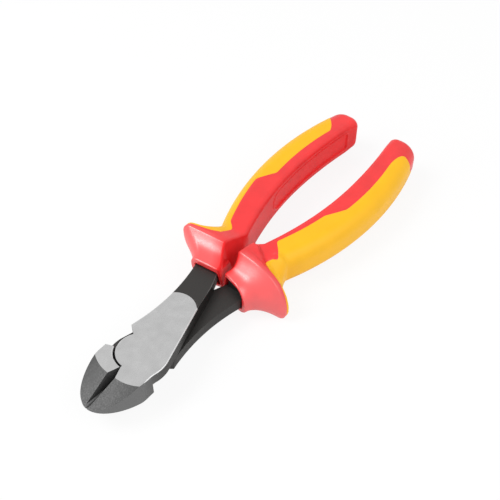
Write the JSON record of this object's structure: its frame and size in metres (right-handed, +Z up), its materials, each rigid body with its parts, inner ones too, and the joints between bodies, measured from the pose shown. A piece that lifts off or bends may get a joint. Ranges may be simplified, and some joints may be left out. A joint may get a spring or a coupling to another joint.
{
  "type": "diagonal cutting pliers",
  "caption": "Diagonal cutting pliers with a lap-jointed steel head, bevelled cutting jaws and insulated red and yellow handles with finger guards.",
  "frame": {"origin": "middle of the overall box, on the surface that the tool lies on", "axes": "+X along the tool from the nose to the handle ends, +Y to the upper lever's handle, +Z up along the pivot axis"},
  "size_m": [0.18, 0.0546, 0.0226],
  "materials": {
    "lever_steel": "ground bright on the flat faces, dark satin on the jaws, black on the tangs",
    "rivet_steel": "ground flush",
    "red_sleeve": "semi-gloss insulating sleeve",
    "yellow_grip": "satin soft grip"
  },
  "bodies": {
    "upper_half": {"upper_lever": "lever_steel", "pivot_rivet": "rivet_steel", "upper_sleeve": "red_sleeve", "upper_grip": "yellow_grip"},
    "lower_half": {"lower_lever": "lever_steel", "lower_sleeve": "red_sleeve", "lower_grip": "yellow_grip"}
  },
  "joints": [
    {"name": "jaw_pivot", "type": "hinge", "parent": "upper_half", "child": "lower_half", "pos_m": [-0.0642, 0, 0.0113], "axis": [0, 0, -1], "range_deg": [0, 57]}
  ]
}
